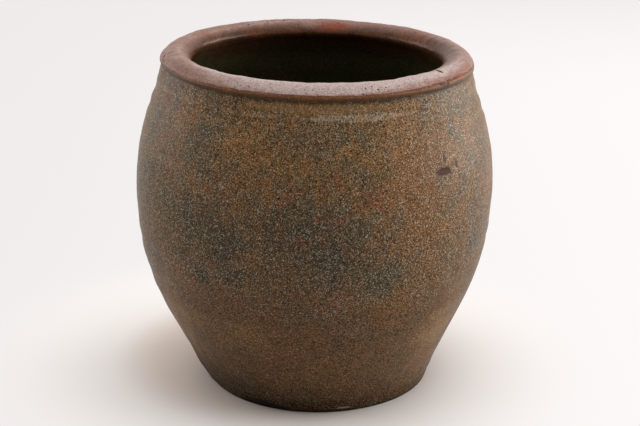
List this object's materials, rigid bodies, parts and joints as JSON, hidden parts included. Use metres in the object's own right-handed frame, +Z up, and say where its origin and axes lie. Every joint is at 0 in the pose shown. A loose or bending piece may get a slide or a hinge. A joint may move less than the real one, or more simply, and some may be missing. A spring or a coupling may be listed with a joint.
{
  "type": "stoneware crock",
  "caption": "Wide-mouthed stoneware storage crock with a full belly, a thick rolled lip of bare clay and a flat foot.",
  "frame": {"origin": "centre of the crock's underside, on its turning axis, at the level of the surface that it stands on", "axes": "+Z up the turning axis, towards the mouth; -Y towards the side that the picture shows"},
  "size_m": [0.34, 0.34, 0.3243],
  "materials": {
    "foot_clay": "matt fired clay, bare underneath, glaze-stained round its edge",
    "inner_glaze": "dark green-black glossy glaze",
    "ash_glaze": "satin speckled ash glaze, grey-green and ochre over brown clay",
    "bare_lip": "unglazed reddish-mauve stoneware clay with a soft sheen"
  },
  "bodies": {
    "root": {"base_slab": "foot_clay", "corner_coil": "inner_glaze", "lower_wall": "ash_glaze", "upper_wall": "ash_glaze", "neck_collar": "ash_glaze", "rim_coil": "bare_lip"}
  },
  "joints": []
}
